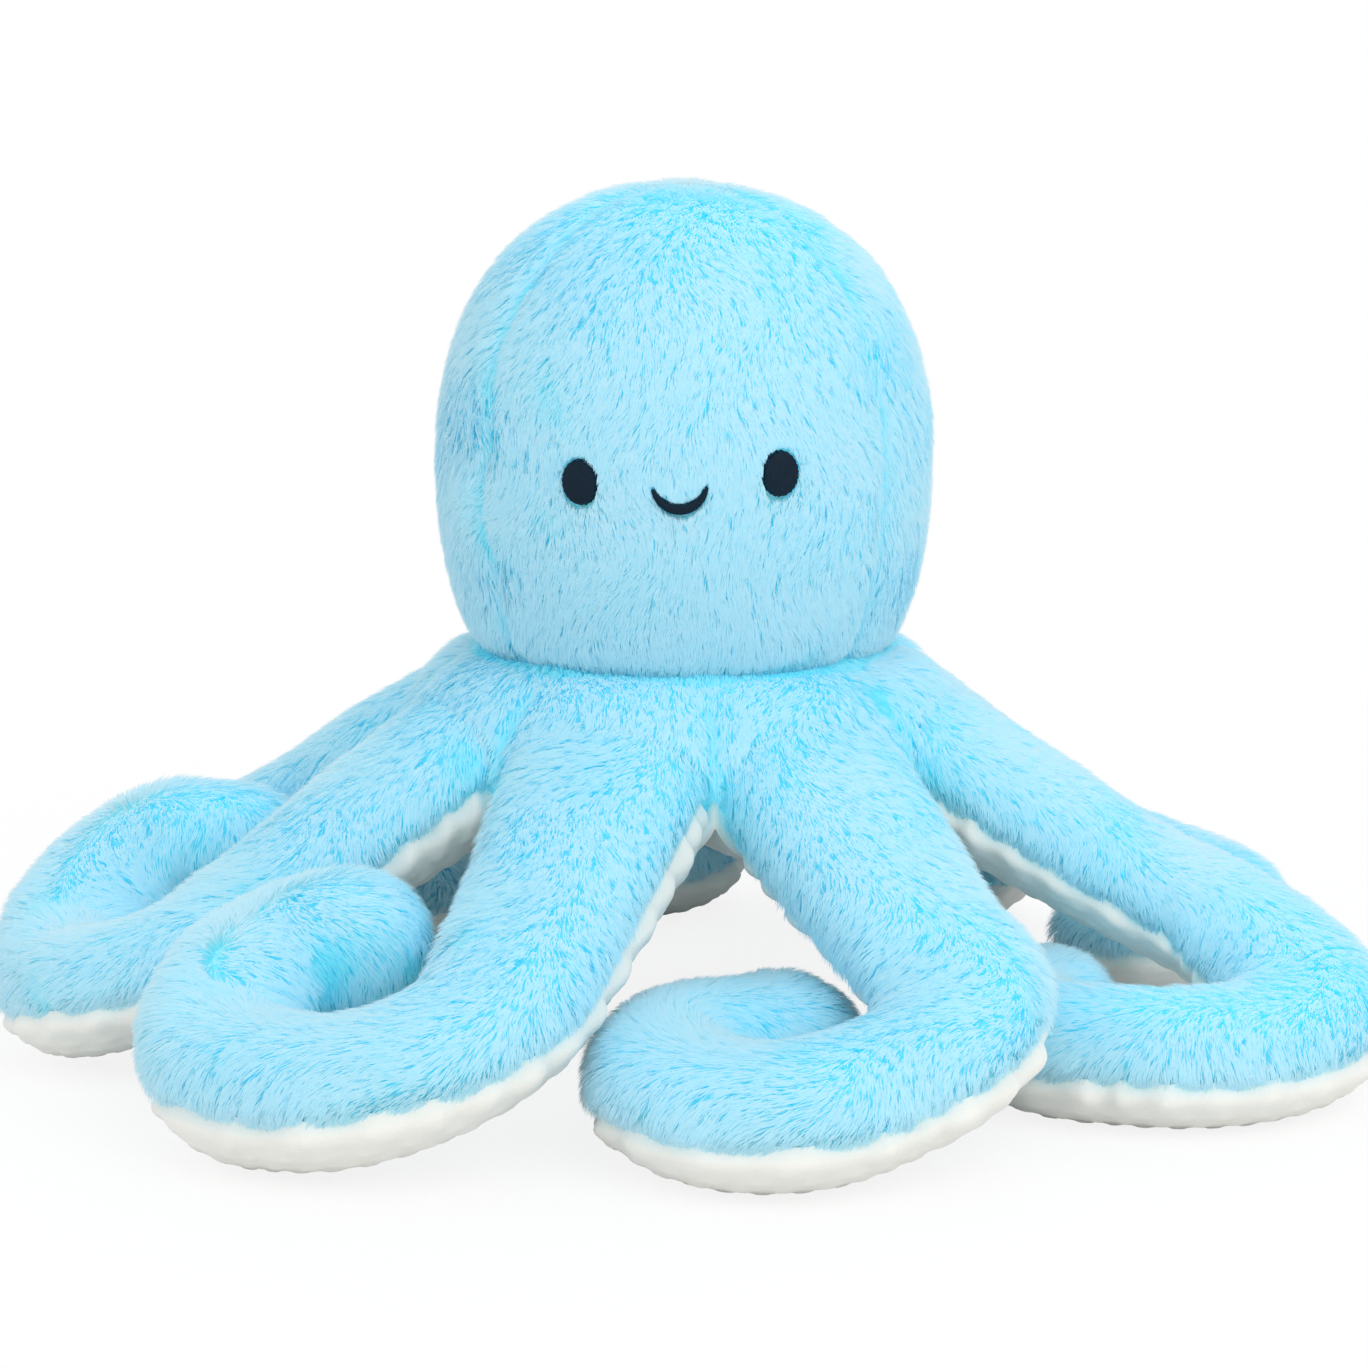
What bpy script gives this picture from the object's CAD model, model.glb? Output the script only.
"""Looks of a sitting plush octopus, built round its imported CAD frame. Metres, Z up, face along -Y."""

import math

import bpy
import numpy as np
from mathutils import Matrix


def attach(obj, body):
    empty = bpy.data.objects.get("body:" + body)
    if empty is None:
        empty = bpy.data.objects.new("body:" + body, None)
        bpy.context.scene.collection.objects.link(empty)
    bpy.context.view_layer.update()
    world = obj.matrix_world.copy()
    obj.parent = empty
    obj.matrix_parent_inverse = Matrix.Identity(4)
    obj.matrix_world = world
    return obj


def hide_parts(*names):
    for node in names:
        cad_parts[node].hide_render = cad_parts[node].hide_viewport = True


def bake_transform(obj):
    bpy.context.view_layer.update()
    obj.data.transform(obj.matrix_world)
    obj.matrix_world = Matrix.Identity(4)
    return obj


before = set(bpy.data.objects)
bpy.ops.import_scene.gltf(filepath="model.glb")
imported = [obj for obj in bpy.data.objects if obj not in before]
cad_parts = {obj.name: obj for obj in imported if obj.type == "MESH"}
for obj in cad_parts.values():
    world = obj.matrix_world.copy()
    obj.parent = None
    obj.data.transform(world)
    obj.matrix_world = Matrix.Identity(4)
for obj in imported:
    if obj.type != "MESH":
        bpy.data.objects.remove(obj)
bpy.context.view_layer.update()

# Head shape
# The head is a ball of polyester fibre in a cover of four gores, a little taller than wide. Everything on
# it, cloth, fur and stitching, is placed on this one surface, set in or out by a distance.
MM = 0.001
HEAD_HALF_WIDTH = 109 * MM
HEAD_CROWN_RISE = 124 * MM
HEAD_CHIN_DROP = 127 * MM
HEAD_CENTRE_Z = 249 * MM
HEAD_SQUARENESS = 2.25
NECK_RADIUS = 91 * MM
GORE_SEAMS_DEG = (-137.33, -52.0, 52.0, 137.33)
SEAM_DIP = 3.2 * MM
SEAM_HALF_WIDTH = 4.5 * MM
HEAD_LUMP = 1.1 * MM
HEAD_LUMP_SPACING = 75 * MM
# The seams' pull fades out within this distance of the crown, where the four gores meet.
SEAM_FADE_RADIUS = 45 * MM
DRIFT_WAVES = 7
DRIFT_GAIN = 1.6


def unit(vectors):
    """Vectors of length one along the last axis."""
    length = np.linalg.norm(vectors, axis=-1, keepdims=True)
    return vectors / np.maximum(length, 1e-12)


def drift(points, spacing, seed):
    """A smooth, seeded, wandering value from about -1 to 1, with hills about `spacing` apart."""
    rng = np.random.default_rng(seed)
    total = np.zeros(points.shape[:-1])
    for _ in range(DRIFT_WAVES):
        way = unit(rng.normal(size=3)) * 2 * math.pi / (spacing * rng.uniform(0.8, 1.5))
        total += np.sin(points @ way + rng.uniform(0, 2 * math.pi))
    return total / DRIFT_WAVES * DRIFT_GAIN


def smooth(share):
    """0 to 1 with a soft start and end."""
    held_share = np.clip(share, 0, 1)
    return held_share**2 * (3 - 2 * held_share)


def around(azimuth, radius, z):
    """Points at a radius and height, azimuth radians round from the front towards +X."""
    azimuth, radius, z = np.broadcast_arrays(azimuth, radius, z)
    return np.stack([radius * np.sin(azimuth), -radius * np.cos(azimuth), z], axis=-1)


def seam_nearness(azimuth, radius):
    """1 on a gore seam of the head, falling to 0 beside it."""
    near = np.zeros(np.broadcast(azimuth, radius).shape)
    for seam in GORE_SEAMS_DEG:
        off = (azimuth - math.radians(seam) + math.pi) % (2 * math.pi) - math.pi
        near = np.maximum(near, np.exp(-((off * radius / SEAM_HALF_WIDTH) ** 2)))
    return near * smooth(radius / SEAM_FADE_RADIUS)


def head_ball(azimuth, lean, inset):
    """The head's surface. lean runs from 0 at the crown to pi under the chin."""
    azimuth, lean = np.broadcast_arrays(azimuth, lean)
    power = 2 / HEAD_SQUARENESS
    out = np.abs(np.sin(lean)) ** power
    drop = np.where(lean > math.pi / 2, HEAD_CHIN_DROP, HEAD_CROWN_RISE)
    rise = np.sign(math.pi / 2 - lean) * np.abs(np.cos(lean)) ** power
    plain = around(azimuth, HEAD_HALF_WIDTH * out, HEAD_CENTRE_Z + drop * rise)
    dip = SEAM_DIP * seam_nearness(azimuth, HEAD_HALF_WIDTH * out)
    depth = inset + dip - HEAD_LUMP * drift(plain, HEAD_LUMP_SPACING, seed=3)
    return around(azimuth, (HEAD_HALF_WIDTH - depth) * out, HEAD_CENTRE_Z + (drop - depth) * rise)


NECK_LEAN = math.pi - math.asin((NECK_RADIUS / HEAD_HALF_WIDTH) ** (HEAD_SQUARENESS / 2))


def lean_at(z):
    """The lean at which the plain ball is z high."""
    rise = (z - HEAD_CENTRE_Z) / np.where(z < HEAD_CENTRE_Z, HEAD_CHIN_DROP, HEAD_CROWN_RISE)
    return math.pi / 2 - np.sign(rise) * np.arcsin(np.abs(rise) ** (HEAD_SQUARENESS / 2))


def grid_normals(points):
    """Outward normals of a grid of points, rows then columns."""
    down = np.gradient(points, axis=0)
    along = np.gradient(points, axis=1)
    return unit(np.cross(down, along))


# Eyes and smile
# Two upright ovals and a small arc in navy rayon thread, satin stitched by machine through the front gore
# before it was sewn up. The stitches lie side by side, dome over their padding and sit down in the pile.
EYE_HALF_WIDTH = 7.7 * MM
EYE_HALF_HEIGHT = 10.1 * MM
EYE_SPACING = 86 * MM
EYE_Z = 256 * MM
SMILE_RADIUS = 11.6 * MM
SMILE_Z = 255.4 * MM
SMILE_HALF_SWEEP = math.radians(77)
SMILE_MID_WIDTH = 4.6 * MM
SMILE_END_WIDTH = 1.5 * MM
# The last of the smile's sweep at each end, where its dome runs out.
SMILE_END_SHARE = 0.03
FACE_ROLL = math.radians(2.6)
FACE_TURN = math.radians(-1)
# The stitches' ends make an edge that waves a little: two ripples, as shares of the eye's size.
EYE_EDGE_WAVE = 0.018
EYE_EDGE_RIPPLE = 0.012
EYE_EDGE_WAVES = 23
EYE_EDGE_RIPPLES = 41
STITCH_INSET = 0.6 * MM
STITCH_DOME = 1.5 * MM
STITCH_EDGE_DROP = 3.0 * MM
# Real stitches are 0.35 mm wide; drawn at 0.7 mm, they still show in the render.
STITCH_PITCH = 0.7 * MM
STITCH_RELIEF = 0.22 * MM
STITCH_ROUNDNESS = 0.7
STITCH_LEAN = math.radians(14)
EYE_GRID = (181, 46)
SMILE_GRID = (241, 15)
# The patch drops into the pile over the last tenth of its way out.
EDGE_DROP_SHARE = 0.1
# The yarn's twist flecks the colour; real flecks of 0.1 mm are drawn at 1.1 mm, so that they show.
FLECK_SCALE = 1 / (1.1 * MM)


def linear(code):
    """An sRGB hex colour as linear RGBA."""
    values = [int(code[i : i + 2], 16) / 255 for i in (1, 3, 5)]
    return tuple(v / 12.92 if v <= 0.04045 else ((v + 0.055) / 1.055) ** 2.4 for v in values) + (1.0,)


def add_node(tree, kind, settings=None, links=None):
    """Adds a node, sets its properties and input values, and links its inputs."""
    node = tree.nodes.new(kind)
    for key, value in (settings or {}).items():
        if isinstance(key, str) and hasattr(node, key):
            setattr(node, key, value)
        else:
            node.inputs[key].default_value = value
    for key, source in (links or {}).items():
        tree.links.new(source, node.inputs[key])
    return node


def new_material(name):
    """An empty node material and its tree, with an output."""
    material = bpy.data.materials.new(name)
    material.use_nodes = True
    tree = material.node_tree
    tree.nodes.clear()
    return material, tree


def add_mesh(name, points, loops, counts, normals=None, uv=None, material=None):
    """A mesh object from arrays: corner indices, corners per face, and optional normals and UVs."""
    mesh = bpy.data.meshes.new(name)
    mesh.vertices.add(len(points))
    mesh.vertices.foreach_set("co", points.astype(np.float32).ravel())
    mesh.loops.add(len(loops))
    mesh.loops.foreach_set("vertex_index", loops.astype(np.int32))
    mesh.polygons.add(len(counts))
    starts = np.concatenate([[0], np.cumsum(counts)[:-1]])
    mesh.polygons.foreach_set("loop_start", starts.astype(np.int32))
    mesh.polygons.foreach_set("use_smooth", np.ones(len(counts), bool))
    mesh.update(calc_edges=True)
    if uv is not None:
        layer = mesh.uv_layers.new(name="OFBake")
        layer.data.foreach_set("uv", uv[loops].astype(np.float32).ravel())
    if normals is not None:
        mesh.normals_split_custom_set_from_vertices(normals.astype(np.float32))
    if material is not None:
        mesh.materials.append(material)
    obj = bpy.data.objects.new(name, mesh)
    bpy.context.scene.collection.objects.link(obj)
    return obj


def grid_faces(rows, columns):
    """Corner indices of the quads of a grid of points, facing the way grid_normals points."""
    i = np.arange(rows - 1)[:, None]
    j = np.arange(columns - 1)[None, :]
    k = j + 1
    above, below = i * columns, (i + 1) * columns
    return np.stack([above + j, below + j, below + k, above + k], axis=-1).reshape(-1, 4)


# Rayon embroidery thread: a filament yarn, so it has a soft silky gloss along the stitch.
THREAD_NAVY = "#0B1B28"
THREAD_NAVY_LIT = "#132738"
thread, tree = new_material("navy_rayon_thread")
place = add_node(tree, "ShaderNodeTexCoord")
fleck = add_node(
    tree, "ShaderNodeTexNoise", {"Scale": FLECK_SCALE, "Detail": 2.0}, {"Vector": place.outputs["Object"]}
)
shade = add_node(
    tree,
    "ShaderNodeMix",
    {"data_type": "RGBA", 6: linear(THREAD_NAVY), 7: linear(THREAD_NAVY_LIT)},
    {0: fleck.outputs["Fac"]},
)
skin = add_node(
    tree,
    "ShaderNodeBsdfPrincipled",
    {"Roughness": 0.55, "Specular IOR Level": 0.12},
    {"Base Color": shade.outputs[2]},
)
add_node(tree, "ShaderNodeOutputMaterial", None, {"Surface": skin.outputs["BSDF"]})


def face_spot(across, up, inset):
    """A point on the head, measured across and up from the middle of the rolled face."""
    z = EYE_Z + up * math.cos(FACE_ROLL) + across * math.sin(FACE_ROLL)
    side = across * math.cos(FACE_ROLL) - up * math.sin(FACE_ROLL)
    lean = lean_at(z)
    radius = HEAD_HALF_WIDTH * np.sin(lean) ** (2 / HEAD_SQUARENESS)
    return head_ball(FACE_TURN + np.arcsin(side / radius), lean, inset)


def smile_width(turn):
    """The smile's thickness at a turn from its lowest point: full in the middle, fine at both ends."""
    fullness = np.cos(turn / SMILE_HALF_SWEEP * math.pi / 2)
    return SMILE_END_WIDTH + (SMILE_MID_WIDTH - SMILE_END_WIDTH) * fullness


def stitched_patch(name, across, up, share, thread_place):
    """A satin stitched patch: a grid in face places, domed by share 0 to 1 from middle to edge."""
    rows, columns = across.shape
    ridge = np.abs(np.sin(math.pi * thread_place / STITCH_PITCH)) ** STITCH_ROUNDNESS
    dome = STITCH_DOME * np.sqrt(np.clip(1 - share**2, 0, 1))
    edge = STITCH_EDGE_DROP * np.clip((share - 1) / EDGE_DROP_SHARE + 1, 0, 1)
    inset = STITCH_INSET - dome - STITCH_RELIEF * ridge + edge
    points = face_spot(across, up, inset).reshape(-1, 3)
    faces = grid_faces(rows, columns)
    patch = add_mesh(name, points, faces.ravel(), np.full(len(faces), 4), material=thread)
    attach(patch, "head")
    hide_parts(name.replace("stitched_", ""))


def stitched_eye(name, middle):
    """An oval of leaning, almost level stitches whose ends make a slightly uneven edge."""
    rng = np.random.default_rng(11)
    round_eye, outwards = np.linspace(0, 2 * math.pi, EYE_GRID[0]), np.linspace(0, 1, EYE_GRID[1])
    turn, share = np.meshgrid(round_eye, outwards, indexing="ij")
    wave = EYE_EDGE_WAVE * np.sin(turn * EYE_EDGE_WAVES + rng.uniform(0, 6))
    wave = 1 + wave + EYE_EDGE_RIPPLE * np.sin(turn * EYE_EDGE_RIPPLES)
    across = EYE_HALF_WIDTH * share * wave * np.cos(turn)
    up = EYE_HALF_HEIGHT * share * wave * np.sin(turn)
    rows = up * math.cos(STITCH_LEAN) + across * math.sin(STITCH_LEAN)
    stitched_patch(name, across + middle, up, share, rows)


stitched_eye("stitched_eye_left", -EYE_SPACING / 2)
stitched_eye("stitched_eye_right", EYE_SPACING / 2)

along_smile, over_smile = np.linspace(0, 1, SMILE_GRID[0]), np.linspace(-1, 1, SMILE_GRID[1])
sweep_share, width_share = np.meshgrid(along_smile, over_smile, indexing="ij")
sweep = -math.pi / 2 + SMILE_HALF_SWEEP * (1 - 2 * sweep_share)
smile_radius = SMILE_RADIUS + smile_width(sweep + math.pi / 2) / 2 * width_share
smile_end = np.clip((np.abs(2 * sweep_share - 1) - 1 + SMILE_END_SHARE) / SMILE_END_SHARE, 0, 1)
stitched_patch(
    "stitched_smile",
    smile_radius * np.cos(sweep),
    SMILE_Z - EYE_Z + smile_radius * np.sin(sweep),
    np.maximum(np.abs(width_share), smile_end),
    SMILE_RADIUS * sweep,
)

# Plush
# Long-pile polyester plush: a knitted back with a 12 mm pile of fine fibres that cling together in locks.
# Each drawn lock is a tapered strip of many fibres, combed down the cloth and drawn in with its neighbours.
PILE_HEIGHT = 5.8 * MM
PILE_LAY = 10.4 * MM
# A real lock is a few 0.03 mm fibres; one strip is drawn 0.56 mm wide for a whole cluster of them.
LOCK_WIDTH = 0.56 * MM
LOCKS_PER_SQUARE_MM = 1.15
BACKING_INSET = 3.6 * MM
# No fur reaches lower than this above the floor.
FUR_FLOOR = 0.4 * MM
# Locks draw together into tufts, and handling swirls the nap. Turns are in radians.
TUFT_SPACING = 4.0 * MM
TUFT_TURN = 0.5
LOCK_TURN = 0.2
LOCK_TILT = 0.3
SWIRL_SPACING = 56 * MM
SWIRL = 0.85
# Here and there the nap opens into a parting: lower, shorter and deeper in colour.
PARTING_SPACING = SWIRL_SPACING * 0.6
PARTING_START = 0.25
PARTING_LOWERS = 0.22
PARTING_SHORTENS = 0.25
PARTING_DARKENS = 0.3
# The least share and the spread of a tuft's own height and lay, and of a lock's own height and width.
TUFT_HEIGHTS = (0.9, 0.16)
TUFT_LAYS = (0.85, 0.3)
TUFT_PULLS = (0.15, 0.25)
LOCK_HEIGHTS = (0.92, 0.16)
LOCK_WIDTHS = (0.75, 0.5)
# A lock's tone, from 0 for PILE_DEEP to 1 for PILE_PALE: its middle value and what each cause changes.
TONE = 0.55
TUFT_TONE = 0.25
LOCK_TONE = 0.08
SWIRL_TONE = 0.2
DEEP_TONE = 0.4
# Deep places show less of the pale part of a lock, but never less than a fifth of it.
PARTING_HIDES = 0.6
DEEP_HIDES = 0.65
MOST_HIDDEN = 0.8
# How a lock bends over from its root to its tip, and how its tip is drawn to the tuft's middle.
RISE_POWER = 1.9
LEAN_POWER = 1.35
DRAW_POWER = 1.5
NORMAL_FAN = 0.1
PILE_ROOT = "#62E5F5"
PILE_DEEP = "#B0E3F1"
PILE_PALE = "#C1E5F2"
# The share of each colour of lamp light that a lock lets through.
LOCK_PASSES = "#DCFDFF"
# Up a lock the colour pales over the first half of its length.
ROOT_SHARE = 0.5
LOCK_STEPS = (0.0, 0.5, 1.0)
LOCK_WIDTH_SHARES = (0.85, 1.0, 0.0)
# A UV place holds a lock's tone and the height along it, a little in from the tile's edges. The backing
# lies at one such place.
UV_EDGE = 0.02
BACKING_UV = (0.5, 0.25)

# Fine polyester pile is matt, with a pale sheen along its edges, and the light that filters through the
# locks leaves the hollows between them clear cyan rather than grey.
plush, tree = new_material("long_pile_polyester_plush")
lock_place = add_node(tree, "ShaderNodeUVMap", {"uv_map": "OFBake"})
split = add_node(tree, "ShaderNodeSeparateXYZ", None, {"Vector": lock_place.outputs["UV"]})
tone = add_node(
    tree,
    "ShaderNodeMix",
    {"data_type": "RGBA", 6: linear(PILE_DEEP), 7: linear(PILE_PALE)},
    {0: split.outputs["X"]},
)
height = add_node(
    tree,
    "ShaderNodeMapRange",
    {"interpolation_type": "SMOOTHSTEP", "From Min": 0.0, "From Max": ROOT_SHARE},
    {"Value": split.outputs["Y"]},
)
dyed = add_node(
    tree,
    "ShaderNodeMix",
    {"data_type": "RGBA", 6: linear(PILE_ROOT)},
    {0: height.outputs["Result"], 7: tone.outputs[2]},
)
fibre = add_node(
    tree,
    "ShaderNodeBsdfPrincipled",
    {"Roughness": 0.75, "Specular IOR Level": 0.25, "Sheen Weight": 0.45, "Sheen Roughness": 0.5},
    {"Base Color": dyed.outputs[2]},
)
side_seen = add_node(tree, "ShaderNodeNewGeometry")
lit_through = add_node(tree, "ShaderNodeBsdfTranslucent", None, {"Color": dyed.outputs[2]})
both_sides = add_node(
    tree,
    "ShaderNodeMixShader",
    None,
    {0: side_seen.outputs["Backfacing"], 1: fibre.outputs["BSDF"], 2: lit_through.outputs["BSDF"]},
)
ray = add_node(tree, "ShaderNodeLightPath")
passed = add_node(tree, "ShaderNodeBsdfTransparent", {"Color": linear(LOCK_PASSES)})
lock_shader = add_node(
    tree,
    "ShaderNodeMixShader",
    None,
    {0: ray.outputs["Is Shadow Ray"], 1: both_sides.outputs["Shader"], 2: passed.outputs["BSDF"]},
)
add_node(tree, "ShaderNodeOutputMaterial", None, {"Surface": lock_shader.outputs["Shader"]})


def dice(code, turn):
    """A fair value from 0 to 1 for each whole number, by mixing up its bits."""
    x = (code.astype(np.uint64) + np.uint64(turn * 2654435761)) & np.uint64(0xFFFFFFFF)
    for _ in range(2):
        x = ((x ^ (x >> np.uint64(16))) * np.uint64(0x45D9F3B)) & np.uint64(0xFFFFFFFF)
    return (x ^ (x >> np.uint64(16))).astype(float) / 0xFFFFFFFF


def nearest_tuft(points, spacing, seed):
    """The nearest tuft middle of a jittered scatter in space, and that tuft's own number."""
    cube = np.floor(points / spacing).astype(np.int64)
    best = np.full(len(points), np.inf)
    middle = points.copy()
    number = np.zeros(len(points), np.int64)
    for step in np.ndindex(3, 3, 3):
        cell = cube + np.array(step) - 1
        code = (cell[:, 0] * 73856093) ^ (cell[:, 1] * 19349663) ^ (cell[:, 2] * 83492791) ^ seed
        code = code & 0xFFFFFFFF
        spot = (cell + np.stack([dice(code, k) for k in (1, 2, 3)], axis=-1)) * spacing
        gap = ((spot - points) ** 2).sum(axis=1)
        nearer = gap < best
        best[nearer] = gap[nearer]
        middle[nearer] = spot[nearer]
        number[nearer] = code[nearer]
    return middle, number


def turn_about(vectors, axes, angle):
    """Vectors turned about unit axes square to them."""
    return vectors * np.cos(angle)[:, None] + np.cross(axes, vectors) * np.sin(angle)[:, None]


def sow(points, normals, comb, extras, rng, density):
    """Random lock roots on the cloth, by area: their places, normals, combing and extra values."""
    diagonal = np.cross(points[1:, 1:] - points[:-1, :-1], points[1:, :-1] - points[:-1, 1:])
    area = np.linalg.norm(diagonal, axis=-1) / 2
    count = int(area.sum() / MM**2 * LOCKS_PER_SQUARE_MM * density)
    cell = rng.choice(area.size, size=count, p=(area / area.sum()).ravel())
    i, j = np.divmod(cell, area.shape[1])
    a, b = rng.random(count), rng.random(count)
    corners = (
        ((i, j), (1 - a) * (1 - b)),
        ((i + 1, j), a * (1 - b)),
        ((i, j + 1), (1 - a) * b),
        ((i + 1, j + 1), a * b),
    )
    found = []
    for field in (points, normals, comb, extras):
        found.append(sum(field[at] * weight[:, None] for at, weight in corners))
    root, normal, way, extra = found
    normal = unit(normal)
    way = unit(way - normal * (way * normal).sum(axis=1, keepdims=True))
    return root, normal, way, extra


def spread(bounds, share):
    """A value from the least of a pair of bounds, by a share of its spread."""
    return bounds[0] + bounds[1] * share


def grow(root, normal, way, size, lay_share, deep, rng, free_way=None):
    """The locks' strips from their roots: points, normals and UVs, five corners to a lock."""
    middle, number = nearest_tuft(root, TUFT_SPACING, seed=5)
    middle = middle - normal * ((middle - root) * normal).sum(axis=1, keepdims=True)
    wander = drift(root, SWIRL_SPACING, seed=21)
    opened = np.clip(drift(root, PARTING_SPACING, seed=33) - PARTING_START, 0, 1)
    swirl = SWIRL * wander + TUFT_TURN * (dice(number, 7) - 0.5)
    tuft_way = turn_about(way, normal, swirl)
    own_way = turn_about(tuft_way, normal, rng.normal(0, LOCK_TURN, len(root)))
    high = PILE_HEIGHT * size * spread(TUFT_HEIGHTS, dice(number, 9))
    high = high * spread(LOCK_HEIGHTS, rng.random(len(root))) * (1 - PARTING_LOWERS * opened)
    lay = PILE_LAY * size * lay_share * spread(TUFT_LAYS, dice(number, 8)) * (1 - PARTING_SHORTENS * opened)
    pull = spread(TUFT_PULLS, dice(number, 4))
    side = unit(np.cross(own_way, normal))
    tilt = rng.uniform(-LOCK_TILT, LOCK_TILT, len(root))
    side = side * np.cos(tilt)[:, None] + normal * np.sin(tilt)[:, None]
    width = LOCK_WIDTH * spread(LOCK_WIDTHS, rng.random(len(root)))
    tone = TONE + TUFT_TONE * (dice(number, 6) - 0.5)
    tone = tone + rng.normal(0, LOCK_TONE, len(root)) + SWIRL_TONE * wander
    tone = np.clip(tone - PARTING_DARKENS * opened - DEEP_TONE * deep, UV_EDGE, 1 - UV_EDGE)
    shown = 1 - np.clip(PARTING_HIDES * opened + DEEP_HIDES * deep, 0, MOST_HIDDEN)
    spots = []
    for step in LOCK_STEPS:
        up = (high * (1 - (1 - step) ** RISE_POWER))[:, None]
        out = (lay * step**LEAN_POWER)[:, None]
        own = root + normal * up + own_way * out
        drawn = middle + normal * up + tuft_way * out
        spots.append(own + (drawn - own) * (pull * step**DRAW_POWER)[:, None])
    if free_way is not None:
        free = free_way(root, spots[-1])[:, None]
        spots = [root + (spot - root) * free for spot in spots]
    rows, turned, texture = [], [], []
    for step, share, spot in zip(LOCK_STEPS, LOCK_WIDTH_SHARES, spots):
        half = side * (width * share / 2)[:, None]
        uv = np.stack([tone, UV_EDGE + (1 - 2 * UV_EDGE) * step * shown], axis=-1)
        if share > 0:
            rows += [spot - half, spot + half]
            turned += [unit(normal - side * NORMAL_FAN), unit(normal + side * NORMAL_FAN)]
            texture += [uv, uv]
        else:
            rows.append(spot)
            turned.append(unit(normal + own_way * NORMAL_FAN))
            texture.append(uv)
    points = np.stack(rows, axis=1).reshape(-1, 3)
    points[:, 2] = np.maximum(points[:, 2], FUR_FLOOR)
    return points, np.stack(turned, axis=1).reshape(-1, 3), np.stack(texture, axis=1).reshape(-1, 2)


# Beside stitching the pile is trimmed: short locks, sown twice as thickly as elsewhere.
TRIM_DENSITY = 2
TRIM_REACH = 9 * MM
THICK_REACH = 7 * MM
TRIMMED_SIZE = 0.6
TRIMMED_LAY = 0.7


def plush_piece(name, points, comb, extras, seed, stitching=None, free_way=None):
    """One piece of plush cloth: its backing and its locks in one mesh. extras: lock size, lay and depth."""
    rng = np.random.default_rng(seed)
    normals = grid_normals(points)
    density = 1 if stitching is None else TRIM_DENSITY
    root, normal, way, extra = sow(points, normals, comb, extras, rng, density)
    size, lay_share, deep = extra.T
    if stitching is not None:
        off = stitching(root)
        away = smooth(off / TRIM_REACH)
        kept = (off > 0) & ((off < THICK_REACH) | (rng.random(len(root)) < 1 / TRIM_DENSITY))
        size = size * (TRIMMED_SIZE + (1 - TRIMMED_SIZE) * away)
        lay_share = lay_share * (TRIMMED_LAY + (1 - TRIMMED_LAY) * away)
        fields = (root, normal, way, size, lay_share, deep)
        root, normal, way, size, lay_share, deep = (field[kept] for field in fields)
    tips, tip_normals, tip_uv = grow(root, normal, way, size, lay_share, deep, rng, free_way)
    backing = points.reshape(-1, 3)
    backing_uv = np.tile(BACKING_UV, (len(backing), 1))
    faces = grid_faces(points.shape[0], points.shape[1])
    first = len(backing) + 5 * np.arange(len(root))[:, None]
    strips = first + np.array((0, 1, 3, 2))
    ends = first + np.array((2, 3, 4))
    loops = np.concatenate([faces.ravel(), strips.ravel(), ends.ravel()])
    counts = np.concatenate([np.full(len(faces) + len(strips), 4), np.full(len(ends), 3)])
    return add_mesh(
        name,
        np.concatenate([backing, tips]),
        loops,
        counts,
        np.concatenate([normals.reshape(-1, 3), tip_normals]),
        np.concatenate([backing_uv, tip_uv]),
        plush,
    )


# Head cover
# Four gores of the plush, sewn edge to edge from the crown to the neck. The nap runs down from the crown,
# the seams pull the cloth in, and the pile is trimmed and pressed away round the stitched eyes and smile.
GORE_GRID = 2.6 * MM
GORE_LENGTH = 2.1 * HEAD_CROWN_RISE
# The gores start just beside the crown's middle point, and end tucked in below the neck seam.
CROWN_LEAN = math.radians(0.3)
NECK_TUCK = math.radians(4)
NECK_TRIM = math.radians(8)
CROWN_REACH = math.radians(22)
CROWN_LAY = 0.6
SEAM_SHORTENS = 0.2
NECK_SHORTENS = 0.3
NECK_FLATTENS = 0.5
# The face's places are worked out on this middle band of the head, and its back counts as a metre off.
FACE_BAND = 80 * MM
BACK_OFF = 1.0
# Locks that could reach the stitching are tried at ten lengths, and stop a little before they touch it.
LONGEST_LOCK = 1.5 * PILE_LAY
REACH_TRIES = 10
STITCH_GAP = 0.1 * MM
REACH_BACK = 0.08


def face_place(points):
    """How far points lie across and up from the middle of the rolled face."""
    azimuth = np.arctan2(points[:, 0], -points[:, 1]) - FACE_TURN
    lean = lean_at(np.clip(points[:, 2], HEAD_CENTRE_Z - FACE_BAND, HEAD_CENTRE_Z + FACE_BAND))
    side = np.sin(azimuth) * HEAD_HALF_WIDTH * np.sin(lean) ** (2 / HEAD_SQUARENESS)
    side = np.where(points[:, 1] < 0, side, BACK_OFF)
    rise = points[:, 2] - EYE_Z
    across = side * math.cos(FACE_ROLL) + rise * math.sin(FACE_ROLL)
    return across, rise * math.cos(FACE_ROLL) - side * math.sin(FACE_ROLL)


def face_distance(points):
    """The distance from the stitched face, negative inside it."""
    across, up = face_place(points)
    turn = np.arctan2(across, SMILE_Z - EYE_Z - up)
    turn = np.clip(turn, -SMILE_HALF_SWEEP, SMILE_HALF_SWEEP)
    sideways = across - SMILE_RADIUS * np.sin(turn)
    upward = up - SMILE_Z + EYE_Z + SMILE_RADIUS * np.cos(turn)
    from_line = np.hypot(sideways, upward)
    gap = from_line - smile_width(turn) / 2
    for middle in (-EYE_SPACING / 2, EYE_SPACING / 2):
        share = np.hypot((across - middle) / EYE_HALF_WIDTH, up / EYE_HALF_HEIGHT)
        gap = np.minimum(gap, (share - 1) * EYE_HALF_WIDTH)
    return gap


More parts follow.
